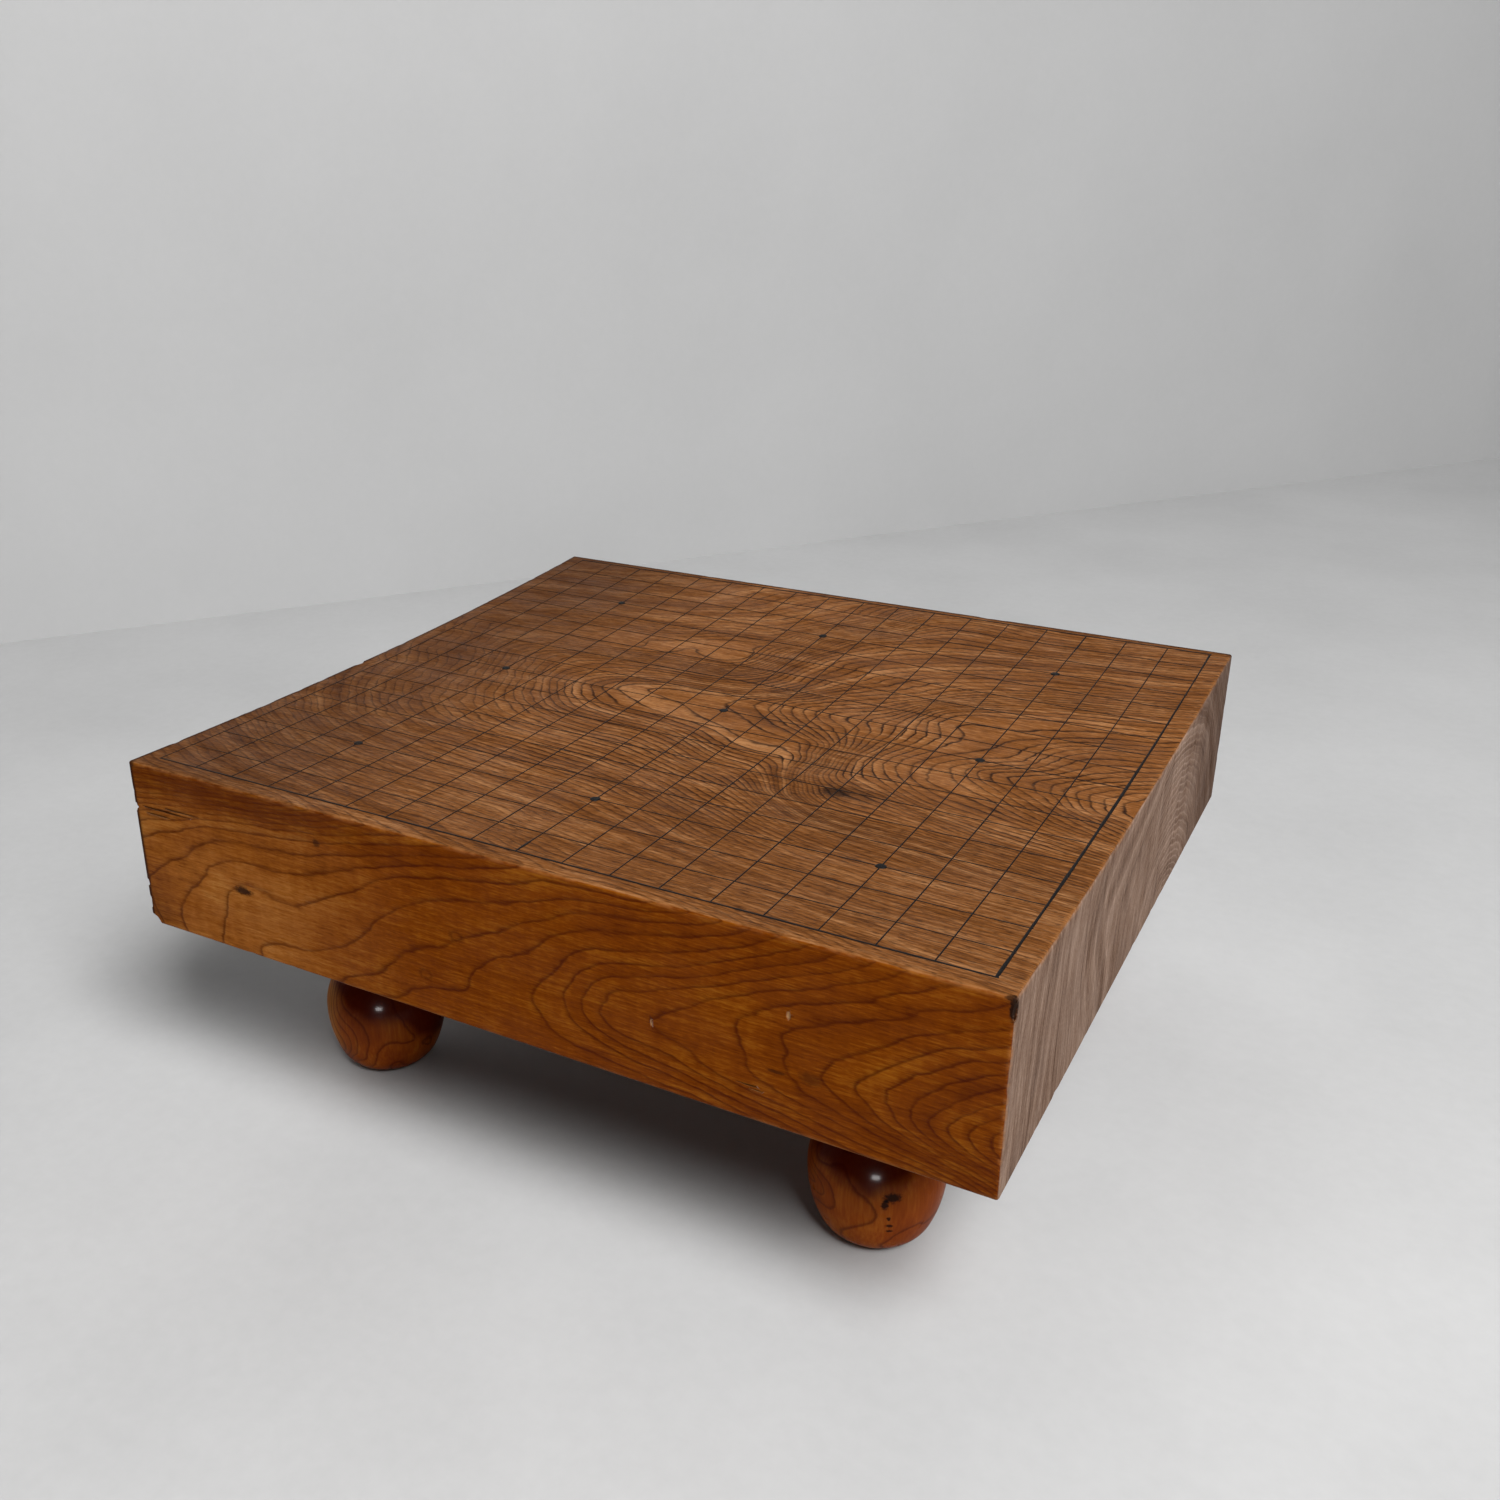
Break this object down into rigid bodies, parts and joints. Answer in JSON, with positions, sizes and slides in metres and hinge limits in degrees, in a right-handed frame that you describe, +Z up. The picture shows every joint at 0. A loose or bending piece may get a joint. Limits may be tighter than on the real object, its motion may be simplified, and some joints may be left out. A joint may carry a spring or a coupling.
{
  "type": "go board",
  "caption": "Solid wood floor go board: a thick block with a dished, lacquer-ruled playing face on turned ball feet whose tenons pull out of mortises.",
  "frame": {"origin": "on the floor under the middle of the block", "axes": "+X along the grain towards the right end, -Y towards the front face, +Z up through the playing face"},
  "size_m": [0.449, 0.413, 0.1965],
  "materials": {
    "block_wood": "worn satin varnish over brown, strongly figured hardwood",
    "foot_wood": "glossy red-brown varnish",
    "lacquer": "black lacquer, slightly raised"
  },
  "bodies": {
    "board": {"board_block": "block_wood", "column_line_a": "lacquer", "column_line_b": "lacquer", "column_line_c": "lacquer", "column_line_d": "lacquer", "column_line_e": "lacquer", "column_line_f": "lacquer", "column_line_g": "lacquer", "column_line_h": "lacquer", "column_line_j": "lacquer", "column_line_k": "lacquer", "column_line_l": "lacquer", "column_line_m": "lacquer", "column_line_n": "lacquer", "column_line_o": "lacquer", "column_line_p": "lacquer", "column_line_q": "lacquer", "column_line_r": "lacquer", "column_line_s": "lacquer", "column_line_t": "lacquer", "row_line_1": "lacquer", "row_line_2": "lacquer", "row_line_3": "lacquer", "row_line_4": "lacquer", "row_line_5": "lacquer", "row_line_6": "lacquer", "row_line_7": "lacquer", "row_line_8": "lacquer", "row_line_9": "lacquer", "row_line_10": "lacquer", "row_line_11": "lacquer", "row_line_12": "lacquer", "row_line_13": "lacquer", "row_line_14": "lacquer", "row_line_15": "lacquer", "row_line_16": "lacquer", "row_line_17": "lacquer", "row_line_18": "lacquer", "row_line_19": "lacquer", "star_point_d4": "lacquer", "star_point_d10": "lacquer", "star_point_d16": "lacquer", "star_point_k4": "lacquer", "star_point_k10": "lacquer", "star_point_k16": "lacquer", "star_point_q4": "lacquer", "star_point_q10": "lacquer", "star_point_q16": "lacquer"},
    "foot_front_left": {"foot_front_left": "foot_wood"},
    "foot_front_right": {"foot_front_right": "foot_wood"},
    "foot_rear_left": {"foot_rear_left": "foot_wood"},
    "foot_rear_right": {"foot_rear_right": "foot_wood"}
  },
  "joints": [
    {"name": "foot_front_left_draw", "type": "slide", "parent": "board", "child": "foot_front_left", "axis": [0, 0, -1], "range_m": [0, 0.045]},
    {"name": "foot_front_right_draw", "type": "slide", "parent": "board", "child": "foot_front_right", "axis": [0, 0, -1], "range_m": [0, 0.045]},
    {"name": "foot_rear_left_draw", "type": "slide", "parent": "board", "child": "foot_rear_left", "axis": [0, 0, -1], "range_m": [0, 0.045]},
    {"name": "foot_rear_right_draw", "type": "slide", "parent": "board", "child": "foot_rear_right", "axis": [0, 0, -1], "range_m": [0, 0.045]}
  ]
}
